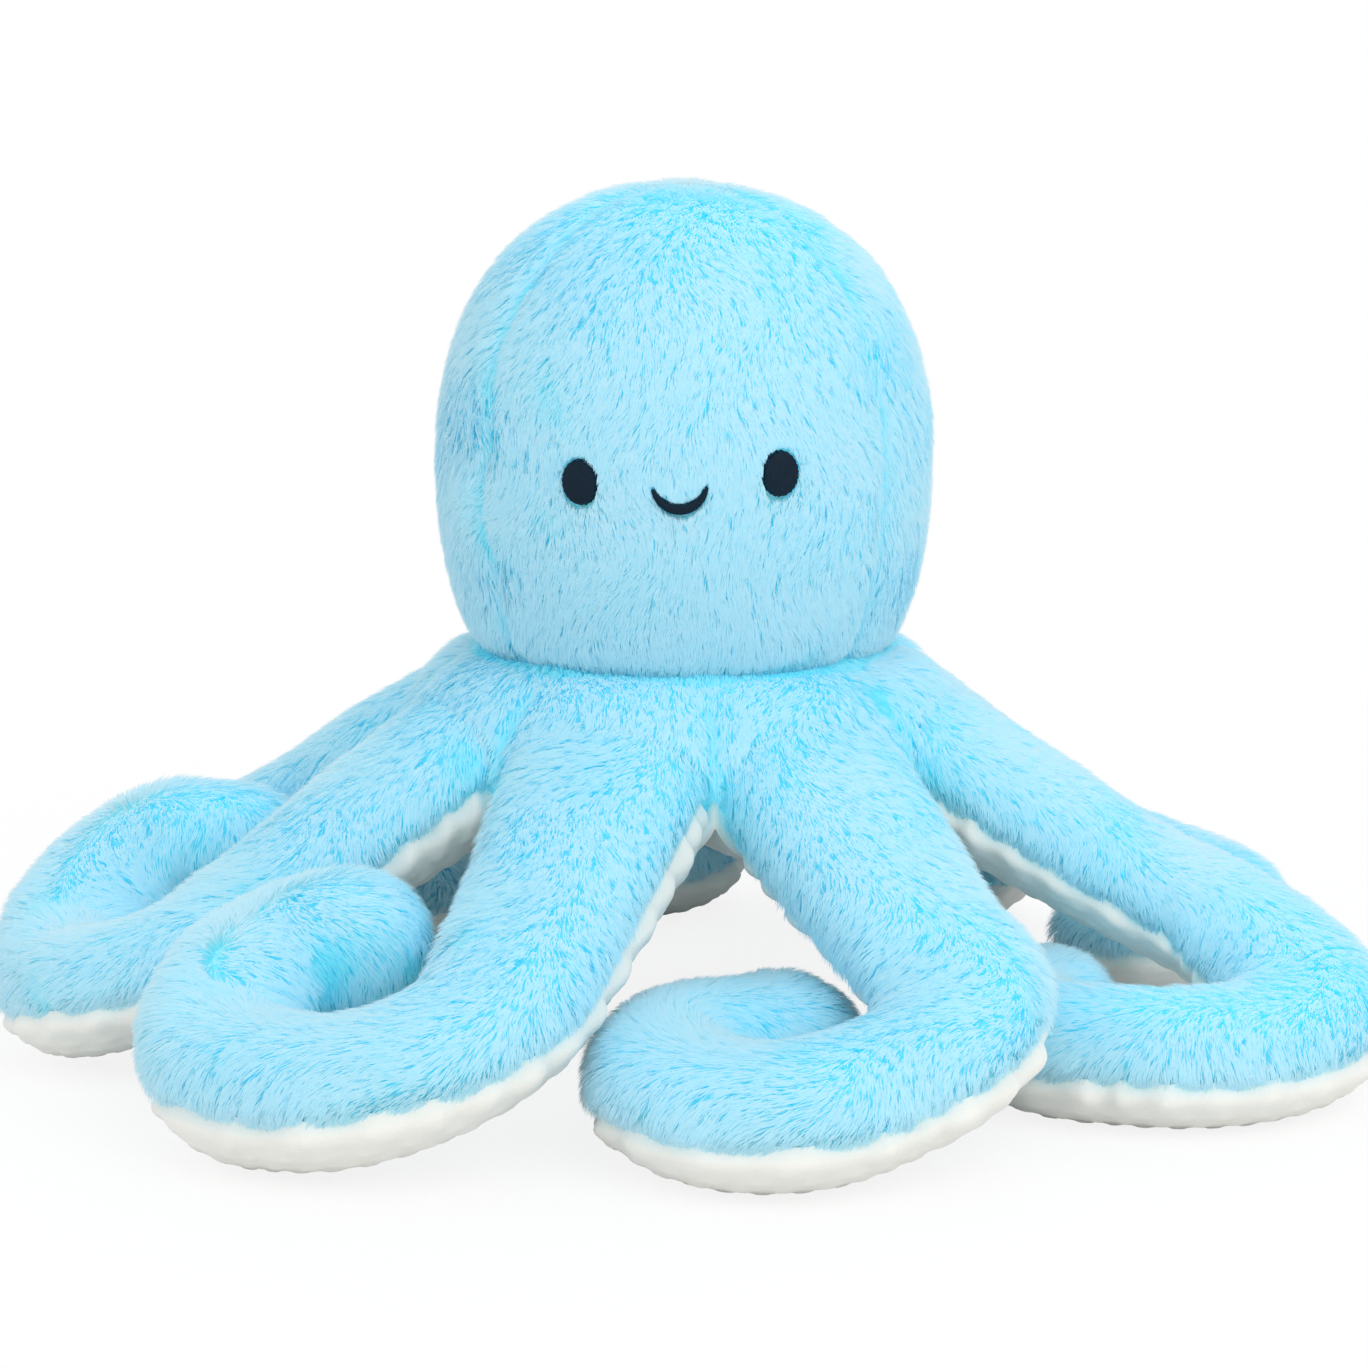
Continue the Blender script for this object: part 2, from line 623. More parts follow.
def way_to_stitching(root, tip):
    """The share of the way from root to tip that a lock can lie before it meets the stitching."""
    free = np.ones(len(root))
    near = np.flatnonzero(face_distance(root) < LONGEST_LOCK)
    for step in np.linspace(1, 1 / REACH_TRIES, REACH_TRIES):
        inside = face_distance(root[near] + (tip[near] - root[near]) * step) < STITCH_GAP
        free[near[inside]] = step - REACH_BACK
    return free


def head_gore(name, node, from_deg, to_deg, seed):
    """One gore of the head's cover."""
    columns = int(math.radians(to_deg - from_deg) * HEAD_HALF_WIDTH / GORE_GRID) + 2
    rows = int(GORE_LENGTH / GORE_GRID)
    lean = np.linspace(CROWN_LEAN, NECK_LEAN + NECK_TUCK, rows)[:, None]
    azimuth = np.linspace(math.radians(from_deg), math.radians(to_deg), columns)[None, :]
    points = head_ball(azimuth, lean, BACKING_INSET)
    comb = unit(np.gradient(points, axis=0))
    near = seam_nearness(azimuth, np.maximum(np.hypot(points[..., 0], points[..., 1]), 1 * MM))
    crown = smooth(lean / CROWN_REACH)
    neck = smooth((lean - NECK_LEAN + NECK_TRIM) / NECK_TRIM)
    size = (1 - SEAM_SHORTENS * near) * (1 - NECK_SHORTENS * neck)
    lay = (CROWN_LAY + (1 - CROWN_LAY) * crown) * (1 - NECK_FLATTENS * neck) + 0 * size
    extras = np.stack([size, lay, near * crown], axis=-1)
    stitched = (face_distance, way_to_stitching) if from_deg < 0 < to_deg else ()
    cover = plush_piece(name, points, comb, extras, seed, *stitched)
    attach(cover, "head")
    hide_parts(node)
    return cover


back_left, front_left, front_right, back_right = GORE_SEAMS_DEG
front_gore = head_gore("plush_gore_front", "head_panel_front", front_left, front_right, seed=101)
head_gore("plush_gore_right", "head_panel_right", front_right, back_right, seed=102)
head_gore("plush_gore_back", "head_panel_back", back_right, back_left + 360, seed=103)
head_gore("plush_gore_left", "head_panel_left", back_left, front_left, seed=104)
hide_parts("head_stuffing")

# Body cover
# A ring of the same plush from the neck seam down to the tops of the eight arms. It dips between the arms,
# where the seams that join them start, and it closes the body's side behind each gap.
ROOT_RADIUS = 116 * MM
ROOT_CENTRE_Z = 121 * MM
ROOT_HALF_WIDTH = 44.5 * MM
ROOT_HALF_HEIGHT = 33 * MM
LOBE_SPREAD_SHARE = 1.0406
FIRST_HEADING = math.radians(-16.5)
ARM_COUNT = 8
PITCH = 2 * math.pi / ARM_COUNT
LOBE_HALF_WIDTH = ROOT_RADIUS * math.tan(PITCH / 2) * LOBE_SPREAD_SHARE
NECK_Z = 171 * MM
# The cloth runs in under the head, and past the arms' edge line it drops down the gaps' sides.
NECK_UNDER = -0.1
SIDE_OVER = 0.3
SIDE_DROP = 5 * MM
SIDE_POWER = 1.2
SIDE_INSET = 0.4
SHOULDER_BULGE = 3.0 * MM
# Between two arms a sewn valley runs out from the neck. In the valleys, at the neck and at the hem the
# pile is shorter, and at the hem it lies flatter.
VALLEY_HALF_WIDTH = 7 * MM
VALLEY_START = 0.4
VALLEY_SHORTENS = 0.2
NECK_LINE = 0.1
NECK_REACH = 0.3
RING_NECK_SHORTENS = 0.35
HEM_START = 0.9
HEM_REACH = 0.3
HEM_SHORTENS = 0.4
HEM_FLATTENS = 0.3
RING_COLUMNS = 300
RING_ROWS = 34


def ring_edge(azimuth):
    """Radius and half height of the body's edge in a direction."""
    off = (azimuth - FIRST_HEADING + PITCH / 2) % PITCH - PITCH / 2
    share = ROOT_RADIUS * np.tan(off) / LOBE_HALF_WIDTH
    return ROOT_RADIUS / np.cos(off), ROOT_HALF_HEIGHT * np.sqrt(np.clip(1 - share**2, 0, 1))


azimuth = np.linspace(0, 2 * math.pi, RING_COLUMNS)[None, :]
share = np.linspace(NECK_UNDER, 1 + SIDE_OVER, RING_ROWS)[:, None]
edge_radius, edge_half = ring_edge(azimuth)
held = np.clip(share, None, 1)
over = np.clip(share - 1, 0, None) / SIDE_OVER
ring_radius = NECK_RADIUS + (edge_radius - NECK_RADIUS) * held
bulge = SHOULDER_BULGE * np.sin(math.pi * np.clip(held, 0, 1)) - SIDE_DROP * over**SIDE_POWER
ring_z = NECK_Z + (ROOT_CENTRE_Z + edge_half - NECK_Z) * held + bulge - BACKING_INSET
ring_points = around(azimuth, ring_radius - BACKING_INSET * SIDE_INSET * (share > 1), ring_z)
ring_comb = unit(np.gradient(ring_points, axis=0))
neck = 1 - smooth(share / NECK_REACH)
hem = smooth((share - HEM_START) / HEM_REACH)
from_valley = PITCH / 2 - np.abs((azimuth - FIRST_HEADING + PITCH / 2) % PITCH - PITCH / 2)
valley = np.exp(-((from_valley * ring_radius / VALLEY_HALF_WIDTH) ** 2)) * smooth(share / VALLEY_START)
ring_size = (1 - RING_NECK_SHORTENS * neck) * (1 - HEM_SHORTENS * hem) * (1 - VALLEY_SHORTENS * valley)
ring_lay = 1 - HEM_FLATTENS * hem + 0 * azimuth
ring_deep = np.maximum(valley, 1 - smooth(share / NECK_LINE))
ring_extras = np.stack([ring_size, ring_lay, ring_deep], axis=-1)
ring_cover = plush_piece("plush_body_cover", ring_points, ring_comb, ring_extras, seed=105)
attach(ring_cover, "body")
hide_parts("body_cover", "body_stuffing")

# Arms, plush tops
# Eight stuffed arms slope down from the body, land on the floor and curl the same way round. The plush top
# is sewn to the white sole along both sides, and its nap falls from the ridge over that seam.
ARM_HALF_WIDTH = 36 * MM
ARM_HALF_HEIGHT = 28.5 * MM
TIP_HALF_WIDTH = 32 * MM
TIP_HALF_HEIGHT = 26 * MM
TIP_ROUNDING = 30 * MM
ARM_REACH = 112 * MM
BEND_RADIUS = 48 * MM
CURL_RADIUS = 40.5 * MM
RUN_LENGTH = 56 * MM
TIP_LIFT_HEIGHT = 58 * MM
TIP_LIFT_LENGTH = 110 * MM
LANDING_LENGTH = 9 * MM
FLOOR_SINK_DEPTH = 0.5 * MM
ARM_SLOPE_SHARE = 0.47
ROOT_SEAM_SHARE = 0.14
SEAM_SHARE = -0.07
SECTION_SQUARENESS = 2.3
ROUTE_STEP = 0.25 * MM
LEAST_HALF = 0.2 * MM
# One row an arm, clockwise from the front left: sway, bend and curl in degrees, then shares of the sizes
# above for the reach, bend, run, curl, tail, lift, start of the lift, slope and height of the tip.
ARMS = (
    (4, 100, 167, 0.98, 1.16, 0.36, 0.94, 0.5, 0.68, 2, 1, 1.22),
    (3, 113, 145, 0.97, 0.98, 0.14, 1.1, 0.1, 0.93, 1.55, 1.14, 1),
    (20, 145, 140, 0.94, 0.96, 0, 1.05, 0, 0, 1.5, 1.15, 1),
    (2, 172, 120, 0.8, 1.06, 0, 1, 0, 0, 1.5, 1.2, 1),
    (4, 174, 92, 0.88, 0.86, 0, 0.9, 0.16, 0, 1.5, 1.12, 1),
    (-14, 150, 120, 0.84, 0.9, 0, 1, 0, 0, 1.5, 1.3, 1),
    (-4, 184, 150, 0.97, 1.22, 0.32, 0.98, 0.18, 0, 1.5, 1.04, 1),
    (-4, 96, 176, 0.85, 0.86, 0.64, 1.04, 1.05, 0.13, 2, 1.04, 1),
)
# How far the plush reaches round under each arm: on the concave side near the root and at the twisted tip,
# and on the outer side at the far end of every curl.
ROOT_TWISTS_DEG = (0, 0, 0, 0, 0, 0, 9, 30)
TIP_TWISTS_DEG = (52, 42, 0, 0, 0, 0, 0, 20)
CURL_END_DROP = math.radians(26)
CURL_END_DROPS_FROM_DEG = (115, 75, 300, 300, 300, 300, 210, 175)
CURL_END_DROPS_OVER = math.radians(45)
# The seams come down from the root's level to the arm's within 1.3 reaches, a root twist has gone by
# 1.56 reaches, and a tip twist grows over the quarter of the arm that starts at 0.55 of it.
SEAM_LANDS_BY = 1.3
ROOT_TWIST_TURNS = 2.6
ROOT_TWIST_REACH = 0.6
TIP_TWIST_START = 0.55
TIP_TWIST_REACH = 0.25


def arm_route(row):
    """The arm's centre line from above, in short steps: distance, out, side and turn."""
    sway, bend, curl, reach, bend_share, run, curl_share, tail = row[:8]
    bend_radius, curl_radius = BEND_RADIUS * bend_share, CURL_RADIUS * curl_share
    sway, bend, curl = (math.radians(v) for v in (sway, bend, curl))
    lengths = [ARM_REACH * reach, bend_radius * bend, RUN_LENGTH * run]
    lengths += [curl_radius * curl, RUN_LENGTH * tail]
    turns = [sway, bend, 0, curl, 0]
    ends = np.concatenate([[0], np.cumsum(lengths)])
    turned = np.concatenate([[0], np.cumsum(turns)])
    along = np.linspace(0, ends[-1], int(ends[-1] / ROUTE_STEP))
    turn = np.interp(along, ends, turned)
    step = np.diff(along, prepend=0)
    middle_turn = np.concatenate([[turn[0]], (turn[1:] + turn[:-1]) / 2])
    out = ROOT_RADIUS + np.cumsum(step * np.cos(middle_turn))
    side = np.cumsum(step * np.sin(middle_turn))
    return along, out, side, turn


def arm_sections(index, stations):
    """Centre, sideways direction and half sizes of the arm's upright sections at some distances."""
    row = ARMS[index]
    reach, lift, lift_from, slope, tip_height = row[3], row[8], row[9], row[10], row[11]
    along, out, side, turn = arm_route(row)
    heading = FIRST_HEADING - PITCH * index
    outward = around(heading, 1.0, 0.0)
    clockwise = around(heading - math.pi / 2, 1.0, 0.0)
    out, side, turn = (np.interp(stations, along, v)[:, None] for v in (out, side, turn))
    end = along[-1]
    elbow = ARM_REACH * reach
    root_share = smooth(stations / elbow)
    tip_share = np.clip((stations - elbow) / (end - elbow), 0, 1)
    into_tip = np.clip((stations - end + TIP_ROUNDING) / TIP_ROUNDING, 0, 1)
    rounding = np.sqrt(np.clip(1 - into_tip**2, 0, 1))
    full = []
    for root, middle, tip in (
        (ROOT_HALF_WIDTH, ARM_HALF_WIDTH, TIP_HALF_WIDTH),
        (ROOT_HALF_HEIGHT, ARM_HALF_HEIGHT, TIP_HALF_HEIGHT * tip_height),
    ):
        upper = root + (middle - root) * root_share
        full.append(np.where(stations < elbow, upper, middle + (tip - middle) * tip_share))
    line = ROOT_CENTRE_Z - ROOT_HALF_HEIGHT - ARM_SLOPE_SHARE * slope * stations
    sole = LANDING_LENGTH * np.log1p(np.exp(line / LANDING_LENGTH))
    sole = sole + TIP_LIFT_HEIGHT * lift * smooth((stations - ARM_REACH * lift_from) / TIP_LIFT_LENGTH)
    centre = outward * out + clockwise * side
    centre[:, 2] = sole + full[1] - FLOOR_SINK_DEPTH * smooth(stations / elbow)
    across = -outward * np.sin(turn) + clockwise * np.cos(turn)
    return centre, across, full[0] * rounding, full[1] * rounding


def section_shape(turn):
    """A rounded section's outline at turns from its concave side over the top, as shares."""
    power = 2 / SECTION_SQUARENESS
    x = np.sign(np.cos(turn)) * np.abs(np.cos(turn)) ** power
    y = np.sign(np.sin(turn)) * np.abs(np.sin(turn)) ** power
    return x, y


def seam_turns(index, stations):
    """The turns of the two seams between plush and sole, and how far the arm itself has turned."""
    along, _, _, bent = arm_route(ARMS[index])
    bent = np.interp(stations, along, bent)
    landed = smooth(stations / (ARM_REACH * SEAM_LANDS_BY))
    share = ROOT_SEAM_SHARE + (SEAM_SHARE - ROOT_SEAM_SHARE) * landed
    turn = np.sign(share) * np.arcsin(np.abs(share) ** (SECTION_SQUARENESS / 2))
    near_root = smooth(ROOT_TWIST_TURNS - stations / (ARM_REACH * ROOT_TWIST_REACH))
    near_tip = smooth((stations / along[-1] - TIP_TWIST_START) / TIP_TWIST_REACH)
    root_twist = math.radians(ROOT_TWISTS_DEG[index]) * near_root
    tip_twist = math.radians(TIP_TWISTS_DEG[index]) * near_tip
    drops_from = math.radians(CURL_END_DROPS_FROM_DEG[index])
    drop = CURL_END_DROP * smooth((bent - drops_from) / CURL_END_DROPS_OVER)
    return turn - np.maximum(root_twist, tip_twist), math.pi - turn + drop, bent


# The root piece is the stretch that bends as the arm lifts, and the elbow piece reaches this far round the
# bend that opens as the curl does.
ROOT_PIECE_LENGTH = 50 * MM
ELBOW_PIECE_PAST = 50 * MM


def arm_stations(index, step):
    """Distances along the arm's three pieces in turn, closer together round the tip."""
    row = ARMS[index]
    end = arm_route(row)[0][-1]
    elbow = ARM_REACH * row[3]
    cuts = [0, ROOT_PIECE_LENGTH, elbow + ELBOW_PIECE_PAST]
    stations = []
    for first, last in zip(cuts, cuts[1:]):
        stations.append(np.linspace(first, last, int((last - first) / step) + 2))
    neck = end - TIP_ROUNDING
    straight = np.linspace(cuts[2], neck, max(int((neck - cuts[2]) / step), 1) + 2)
    cap = neck + TIP_ROUNDING * np.sin(np.linspace(0, math.pi / 2, int(1.5 * TIP_ROUNDING / step) + 2))
    stations.append(np.concatenate([straight, cap[1:]]))
    return stations


def arm_surface(index, stations, turns, inset):
    """Points of the arm's surface; inset is a grid of distances inwards."""
    centre, across, width, height = arm_sections(index, stations)
    x, y = section_shape(turns)
    half_width = np.maximum(width[:, None] - inset, LEAST_HALF)
    half_height = np.maximum(height[:, None] - inset, LEAST_HALF)
    points = centre[:, None, :] + across[:, None, :] * (x * half_width)[..., None]
    points[..., 2] += y * half_height
    return points


# The cloth bends over this length at the root and up to the elbow, and a little way past the elbow. The
# elbow's hinge is upright, so one height does for both of its places.
BLEND_LENGTH = 46 * MM
ELBOW_BLEND_PAST = 12 * MM
ELBOW_BLEND_Z = 50 * MM


def arm_hinges(index):
    """Where the arm's pieces bend: from and to points at the root and at the elbow."""
    heading = FIRST_HEADING - PITCH * index
    elbow = ARM_REACH * ARMS[index][3]
    centre, across, _, _ = arm_sections(index, np.array([elbow - BLEND_LENGTH, elbow]))
    forward = np.cross(across[1], (0, 0, 1))
    if forward @ (centre[1] - centre[0]) < 0:
        forward = -forward
    root_start = around(heading, ROOT_RADIUS, ROOT_CENTRE_Z)
    root_end = around(heading, ROOT_RADIUS + BLEND_LENGTH, ROOT_CENTRE_Z)
    elbow_start = np.array([centre[0][0], centre[0][1], ELBOW_BLEND_Z])
    elbow_end = np.array([centre[1][0], centre[1][1], ELBOW_BLEND_Z]) + forward * ELBOW_BLEND_PAST
    return (root_start, root_end), (elbow_start, elbow_end)


def dress_arm_piece(piece, index, part, nodes):
    """Makes one of an arm's three pieces follow its bodies, and says what it stands for."""
    arm = "arm_%d" % (index + 1)
    root, elbow = arm_hinges(index)
    if part == 0:
        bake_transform(piece)
    elif part == 1:
        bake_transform(piece)
    else:
        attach(piece, arm + "_tip")
    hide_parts(*[arm + "_" + node for node in nodes])


PLUSH_GRID = 3.0 * MM
# The cloth turns in at its seams, and the filling makes it a little lumpy.
SEAM_TURN_IN = 2.5 * MM
SEAM_TURN_IN_REACH = 4 * MM
ARM_LUMP = 1.0 * MM
ARM_LUMP_SPACING = 60 * MM
# The nap falls down the cloth's sides and leans along the arm. It is shorter beside the seams, and it shows
# its deep colour where the arm leaves the body and in the hollow side of a curl.
NAP_ALONG = 0.45
EDGE_REACH = 14 * MM
EDGE_SIZE = 0.78
EDGE_LAY = 0.65
HOLLOW_FROM = math.radians(80)
HOLLOW_OVER = math.radians(60)
HOLLOW_DEPTH = 0.7
ROOT_DEEP_REACH = 34 * MM
PART_NAMES = ("root", "elbow", "curl")
PLUSH_NODES = (("fur", "stuffing"), ("fur",), ("tip_fur", "tip_stuffing"))
PLUSH_COLUMNS = 42
for index in range(ARM_COUNT):
    for part, span in enumerate(arm_stations(index, PLUSH_GRID)):
        low, high, bent = seam_turns(index, span)
        turns = low[:, None] + (high - low)[:, None] * np.linspace(0, 1, PLUSH_COLUMNS)[None, :]
        rim = np.minimum(turns - low[:, None], high[:, None] - turns) * ARM_HALF_WIDTH
        inset = BACKING_INSET + SEAM_TURN_IN * np.exp(-((rim / SEAM_TURN_IN_REACH) ** 2))
        points = arm_surface(index, span, turns, inset)
        lump = drift(points, ARM_LUMP_SPACING, seed=40 + index) * ARM_LUMP
        points = points - grid_normals(points) * lump[..., None]
        normals = grid_normals(points)
        fall = np.array([0, 0, -1.0]) + normals * normals[..., 2:3]
        forward = unit(np.gradient(points, axis=0))
        comb = fall + NAP_ALONG * forward
        away = smooth(rim / EDGE_REACH)
        curled = smooth((bent[:, None] - HOLLOW_FROM) / HOLLOW_OVER)
        hollow = curled * np.clip(np.cos(turns), 0, 1) ** 2
        beside_body = np.exp(-((span[:, None] / ROOT_DEEP_REACH) ** 2)) * np.abs(np.cos(turns)) ** 3
        deep = np.maximum(beside_body, HOLLOW_DEPTH * hollow)
        size = EDGE_SIZE + (1 - EDGE_SIZE) * away
        extras = np.stack([size, EDGE_LAY + (1 - EDGE_LAY) * away, deep], axis=-1)
        name = "plush_arm_%d_%s" % (index + 1, PART_NAMES[part])
        piece = plush_piece(name, points, comb, extras, seed=200 + 10 * index + part)
        dress_arm_piece(piece, index, part, PLUSH_NODES[part])

# Arms, soles
# The underside of each arm is white dotted minky: a short, dense polyester pile with raised round dots.
# It is sewn in under the plush along both sides, puffs out below the seam and lies flat on the floor.
SOLE_GRID = 1.7 * MM
DOT_PITCH = 11.5 * MM
DOT_RADIUS = 3.1 * MM
DOT_HEIGHT = 0.7 * MM
# A dot's side slopes down between these shares of its radius.
DOT_SLOPE = (0.55, 1.25)
# The dots fade out towards the seam, where the cloth is stretched over its turned edge.
DOTS_FROM = 8 * MM
DOTS_REACH = 10 * MM
SOLE_INSET = 0.5 * MM
SOLE_TUCK = 6.5 * MM
SOLE_TUCK_REACH = 5 * MM
SOLE_PUFF = 2.2 * MM
SOLE_PUFF_REACH = 24 * MM
# The sewing gathers the sole into puckers of two lengths, whose spacing wanders along the arm.
PUCKER = 2.0 * MM
PUCKER_LENGTH = 17 * MM
PUCKER_WANDER = 2.5
PUCKER_WANDER_LENGTH = 23 * MM
LONG_PUCKER = 1.0 * MM
LONG_PUCKER_LENGTH = 29 * MM
PUCKER_REACH = 16 * MM
SOLE_FLOOR = 0.1 * MM
MINKY_WHITE = "#F3F1EB"
MINKY_SHADE = "#E8E6DF"
# The pile is 1.5 mm fibres, too fine to show; it is drawn as a 1.1 mm nap.
NAP_SCALE = 1 / (1.1 * MM)
NAP_DEPTH = 0.6 * MM
# The pile is brushed this way and that in patches about 17 mm long, which look a shade darker or lighter.
PATCH_SCALE = 1 / (16.7 * MM)

# Short dense pile scatters all light evenly: soft matt white with hardly any gloss, velvety at its edges.
minky, tree = new_material("dotted_polyester_minky")
place = add_node(tree, "ShaderNodeTexCoord")
patchy = add_node(
    tree, "ShaderNodeTexNoise", {"Scale": PATCH_SCALE, "Detail": 3.0}, {"Vector": place.outputs["Object"]}
)
nap = add_node(
    tree,
    "ShaderNodeTexNoise",
    {"Scale": NAP_SCALE, "Detail": 3.0, "Roughness": 0.6},
    {"Vector": place.outputs["Object"]},
)
cloth = add_node(
    tree,
    "ShaderNodeMix",
    {"data_type": "RGBA", 6: linear(MINKY_SHADE), 7: linear(MINKY_WHITE)},
    {0: patchy.outputs["Fac"]},
)
rough = add_node(
    tree, "ShaderNodeBump", {"Strength": 0.35, "Distance": NAP_DEPTH}, {"Height": nap.outputs["Fac"]}
)
pile = add_node(
    tree,
    "ShaderNodeBsdfPrincipled",
    {"Roughness": 0.85, "Specular IOR Level": 0.2, "Sheen Weight": 0.3, "Sheen Roughness": 0.45},
    {"Base Color": cloth.outputs[2], "Normal": rough.outputs["Normal"]},
)
add_node(tree, "ShaderNodeOutputMaterial", None, {"Surface": pile.outputs["BSDF"]})


def dot_height(u, v):
    """The height of the raised dots at places u along and v across the cloth, in staggered rows."""
    row_gap = DOT_PITCH * math.sqrt(3) / 2
    best = np.full(np.broadcast(u, v).shape, np.inf)
    row = np.round(v / row_gap)
    for step in (-1, 0, 1):
        line = row + step
        shift = (line % 2) * DOT_PITCH / 2
        off_u = u - (np.round((u - shift) / DOT_PITCH) * DOT_PITCH + shift)
        best = np.minimum(best, np.hypot(off_u, v - line * row_gap))
    top, foot = (DOT_RADIUS * share for share in DOT_SLOPE)
    return DOT_HEIGHT * smooth((foot - best) / (foot - top))


def minky_piece(name, points):
    """One piece of the dotted cloth."""
    faces = grid_faces(points.shape[0], points.shape[1])
    return add_mesh(name, points.reshape(-1, 3), faces.ravel(), np.full(len(faces), 4), material=minky)


SOLE_NODES = (("sole",), ("sole",), ("tip_sole",))
SOLE_COLUMNS = 58
for index in range(ARM_COUNT):
    for part, span in enumerate(arm_stations(index, SOLE_GRID)):
        high, low, _ = seam_turns(index, span)
        first, last = low[:, None] - 2 * math.pi, high[:, None]
        turns = first + (last - first) * np.linspace(0, 1, SOLE_COLUMNS)[None, :]
        rim = np.minimum(turns - first, last - turns) * ARM_HALF_WIDTH
        tuck = SOLE_TUCK * np.exp(-((rim / SOLE_TUCK_REACH) ** 2))
        puff = SOLE_PUFF * smooth((SOLE_PUFF_REACH - rim) / SOLE_PUFF_REACH)
        u = span[:, None]
        wander = PUCKER_WANDER * np.sin(u / PUCKER_WANDER_LENGTH) + index
        pucker = PUCKER * np.sin(u * 2 * math.pi / PUCKER_LENGTH + wander)
        pucker = pucker + LONG_PUCKER * np.sin(u * 2 * math.pi / LONG_PUCKER_LENGTH + 2 * index)
        pucker = pucker * np.exp(-((rim / PUCKER_REACH) ** 2))
        dots = dot_height(u, turns * ARM_HALF_WIDTH) * smooth((rim - DOTS_FROM) / DOTS_REACH)
        inset = SOLE_INSET + tuck - puff + pucker - dots
        points = arm_surface(index, span, turns, inset)
        points[..., 2] = np.maximum(points[..., 2], SOLE_FLOOR)
        piece = minky_piece("minky_arm_%d_%s" % (index + 1, PART_NAMES[part]), points)
        dress_arm_piece(piece, index, part, SOLE_NODES[part])

# Underside panel
# One panel of the dotted minky closes the body between the arm roots. It is held up by the filling, so it
# is a shallow hollow, a little drawn in where it is sewn to the soles.
UNDERSIDE_CENTRE_Z = 86 * MM
# Past the seam its edge is a lip that turns in and up, shares of the edge's radius and a steepness.
LIP_SHARES = (1.08, 1.04)
LIP_TURN_IN = 1 / 3
LIP_STEEPNESS = 150 * MM
DOTS_WITHIN = 0.97
PANEL_COLUMNS = 420
PANEL_ROWS = 75
PANEL_MIDDLE = 0.004
azimuth = np.linspace(0, 2 * math.pi, PANEL_COLUMNS)[None, :]
share = np.concatenate([LIP_SHARES, np.linspace(1.0, PANEL_MIDDLE, PANEL_ROWS)])[:, None]
edge_radius, edge_half = ring_edge(azimuth)
held = np.clip(share, None, 1)
panel_z = UNDERSIDE_CENTRE_Z + (ROOT_CENTRE_Z - edge_half - UNDERSIDE_CENTRE_Z) * held**2
lip = share - held
panel = around(azimuth, edge_radius * (held - lip * LIP_TURN_IN), panel_z + lip * LIP_STEEPNESS)
panel[..., 2] -= dot_height(panel[..., 0], panel[..., 1]) * (share < DOTS_WITHIN)
underside = minky_piece("minky_underside", panel)
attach(underside, "body")
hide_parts("underside_panel")

# Studio
# The toy sits on a seamless white sweep under large soft lamps, and is seen from a little above by a long
# lens, straight at the face.
SWEEP_WHITE = "#F4F4F4"
CAMERA_ELEVATION = math.radians(10.5)
CAMERA_DISTANCE = 1.7
CAMERA_TARGET_Z = 0.15
# The lens was fitted to the photograph: its focal length and the picture's width, both in pixels.
FOCAL_PIXELS = 3785.9
PICTURE_PIXELS = 1368
SENSOR = 36.0
SWEEP_HALF = 4.0
SWEEP_DROP = 0.6 * MM
# Near the toy the paper looks 85% blank white, so that its shadow shows, and further out all blank.
BLANK_NEAR = 0.85
BLANK_FROM = 0.35
BLANK_TO = 0.9
# The white room lights the toy at 80% of the brightness that the camera sees behind it.
ROOM_LIGHT = 0.8
SOFTBOX_SIZE = 1.6

# Matt paper: no gloss, only a soft shadow.
sweep_cloth, tree = new_material("white_paper_sweep")
seen = add_node(tree, "ShaderNodeLightPath")
paper = add_node(tree, "ShaderNodeBsdfDiffuse", {"Color": linear(SWEEP_WHITE)})
glow = add_node(tree, "ShaderNodeEmission", {"Color": (1, 1, 1, 1), "Strength": 1.0})
spot = add_node(tree, "ShaderNodeTexCoord")
away = add_node(tree, "ShaderNodeVectorMath", {"operation": "LENGTH"}, {0: spot.outputs["Object"]})
fade = add_node(
    tree,
    "ShaderNodeMapRange",
    {
        "interpolation_type": "SMOOTHSTEP",
        "From Min": BLANK_FROM,
        "From Max": BLANK_TO,
        "To Min": BLANK_NEAR,
    },
    {"Value": away.outputs["Value"]},
)
share_seen = add_node(
    tree,
    "ShaderNodeMath",
    {"operation": "MULTIPLY"},
    {0: seen.outputs["Is Camera Ray"], 1: fade.outputs["Result"]},
)
floor_mix = add_node(
    tree,
    "ShaderNodeMixShader",
    None,
    {0: share_seen.outputs[0], 1: paper.outputs["BSDF"], 2: glow.outputs["Emission"]},
)
add_node(tree, "ShaderNodeOutputMaterial", None, {"Surface": floor_mix.outputs["Shader"]})
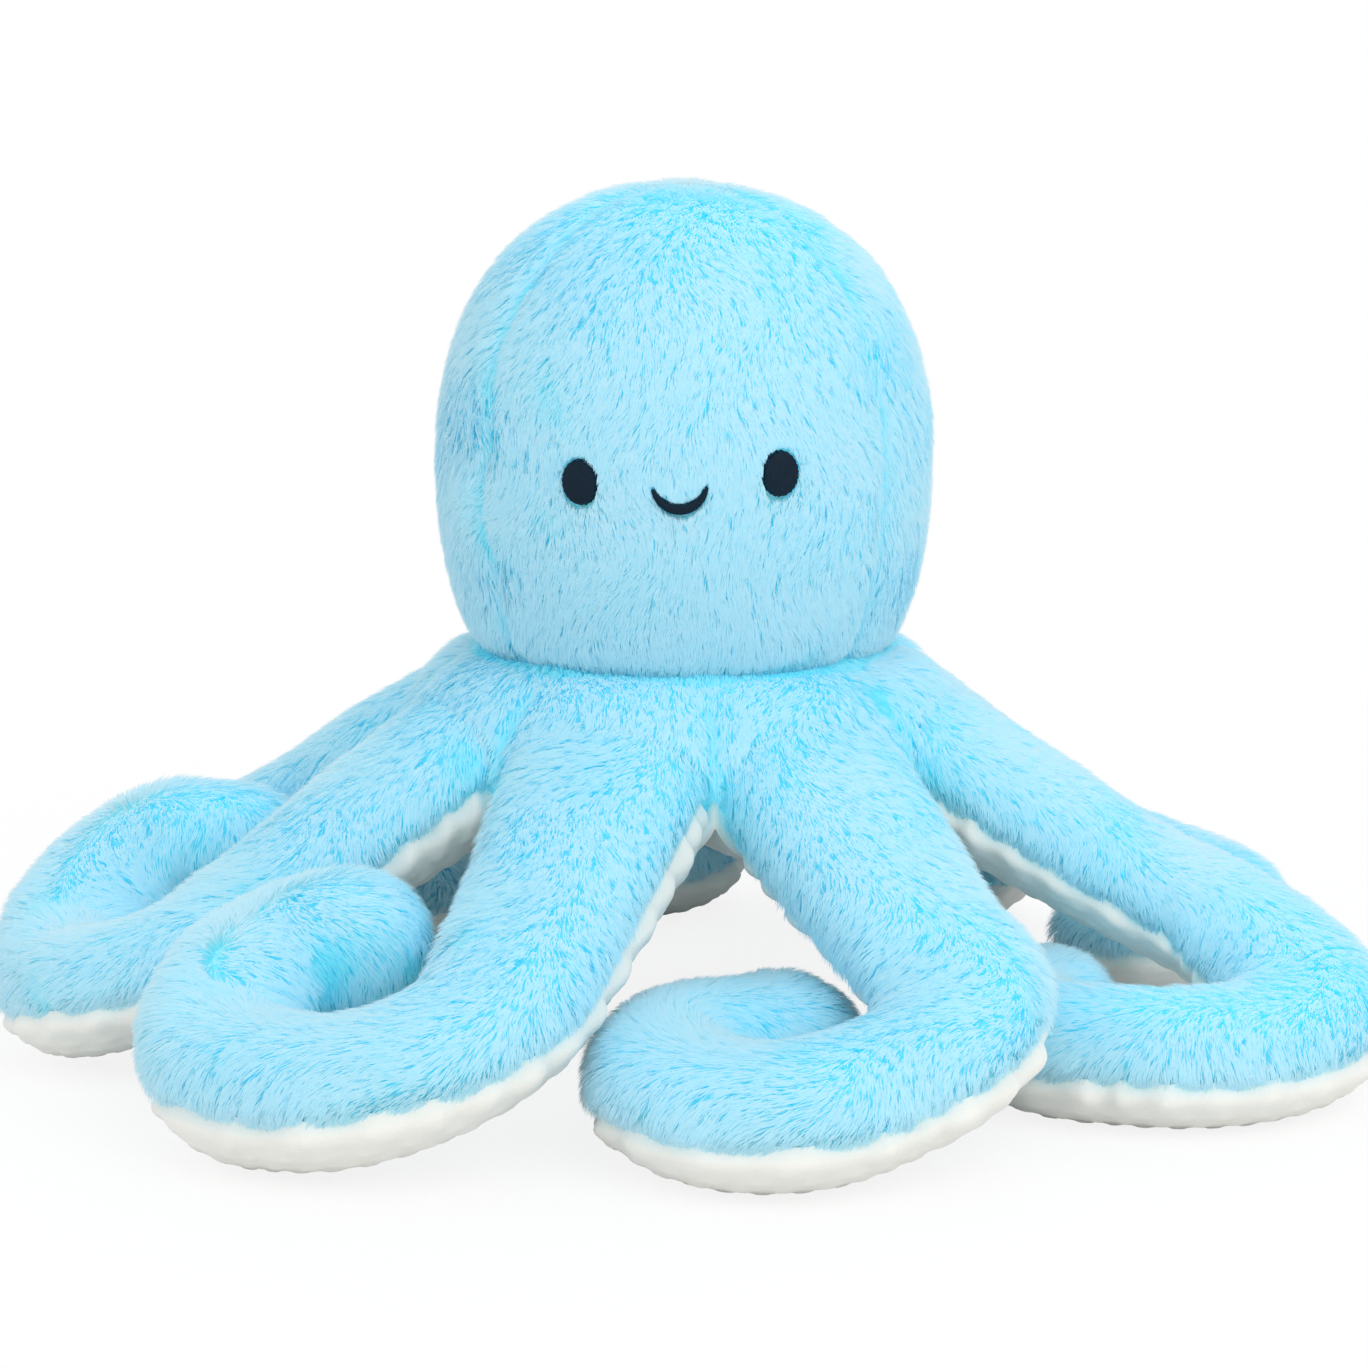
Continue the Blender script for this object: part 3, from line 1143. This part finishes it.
square = np.array([(-1, -1, 0), (1, -1, 0), (1, 1, 0), (-1, 1, 0)], float)
corners = square * SWEEP_HALF - (0, 0, SWEEP_DROP)
floor = add_mesh("paper_sweep", corners, np.arange(4), np.array([4]), material=sweep_cloth)

world = bpy.data.worlds.new("studio")
bpy.context.scene.world = world
world.use_nodes = True
tree = world.node_tree
tree.nodes.clear()
seen = add_node(tree, "ShaderNodeLightPath")
level = add_node(
    tree, "ShaderNodeMapRange", {"To Min": ROOM_LIGHT}, {"Value": seen.outputs["Is Camera Ray"]}
)
sky = add_node(tree, "ShaderNodeBackground", {"Color": (1, 1, 1, 1)}, {"Strength": level.outputs["Result"]})
add_node(tree, "ShaderNodeOutputWorld", None, {"Surface": sky.outputs["Background"]})


def softbox(name, place_at, power):
    """A square lamp that faces the toy's middle."""
    lamp = bpy.data.lights.new(name, "AREA")
    lamp.size = SOFTBOX_SIZE
    lamp.energy = power
    obj = bpy.data.objects.new(name, lamp)
    obj.location = place_at
    way = np.array([0, 0, CAMERA_TARGET_Z]) - np.array(place_at)
    obj.rotation_euler = (
        math.acos(-way[2] / np.linalg.norm(way)),
        0,
        math.atan2(way[1], way[0]) - math.pi / 2,
    )
    bpy.context.scene.collection.objects.link(obj)


softbox("key_softbox", (1.0, -1.4, 1.8), 17)
softbox("fill_softbox", (-1.5, -1.3, 1.2), 5)
softbox("back_softbox", (0.3, 1.6, 1.8), 9)

camera = bpy.data.cameras.new("camera")
camera.sensor_width = SENSOR
camera.lens = SENSOR * (FOCAL_PIXELS / PICTURE_PIXELS)
eye = bpy.data.objects.new("camera", camera)
eye.location = (
    0,
    -CAMERA_DISTANCE * math.cos(CAMERA_ELEVATION),
    CAMERA_TARGET_Z + CAMERA_DISTANCE * math.sin(CAMERA_ELEVATION),
)
eye.rotation_euler = (math.pi / 2 - CAMERA_ELEVATION, 0, 0)
bpy.context.scene.collection.objects.link(eye)
bpy.context.scene.camera = eye
bpy.context.scene.view_settings.view_transform = "Standard"
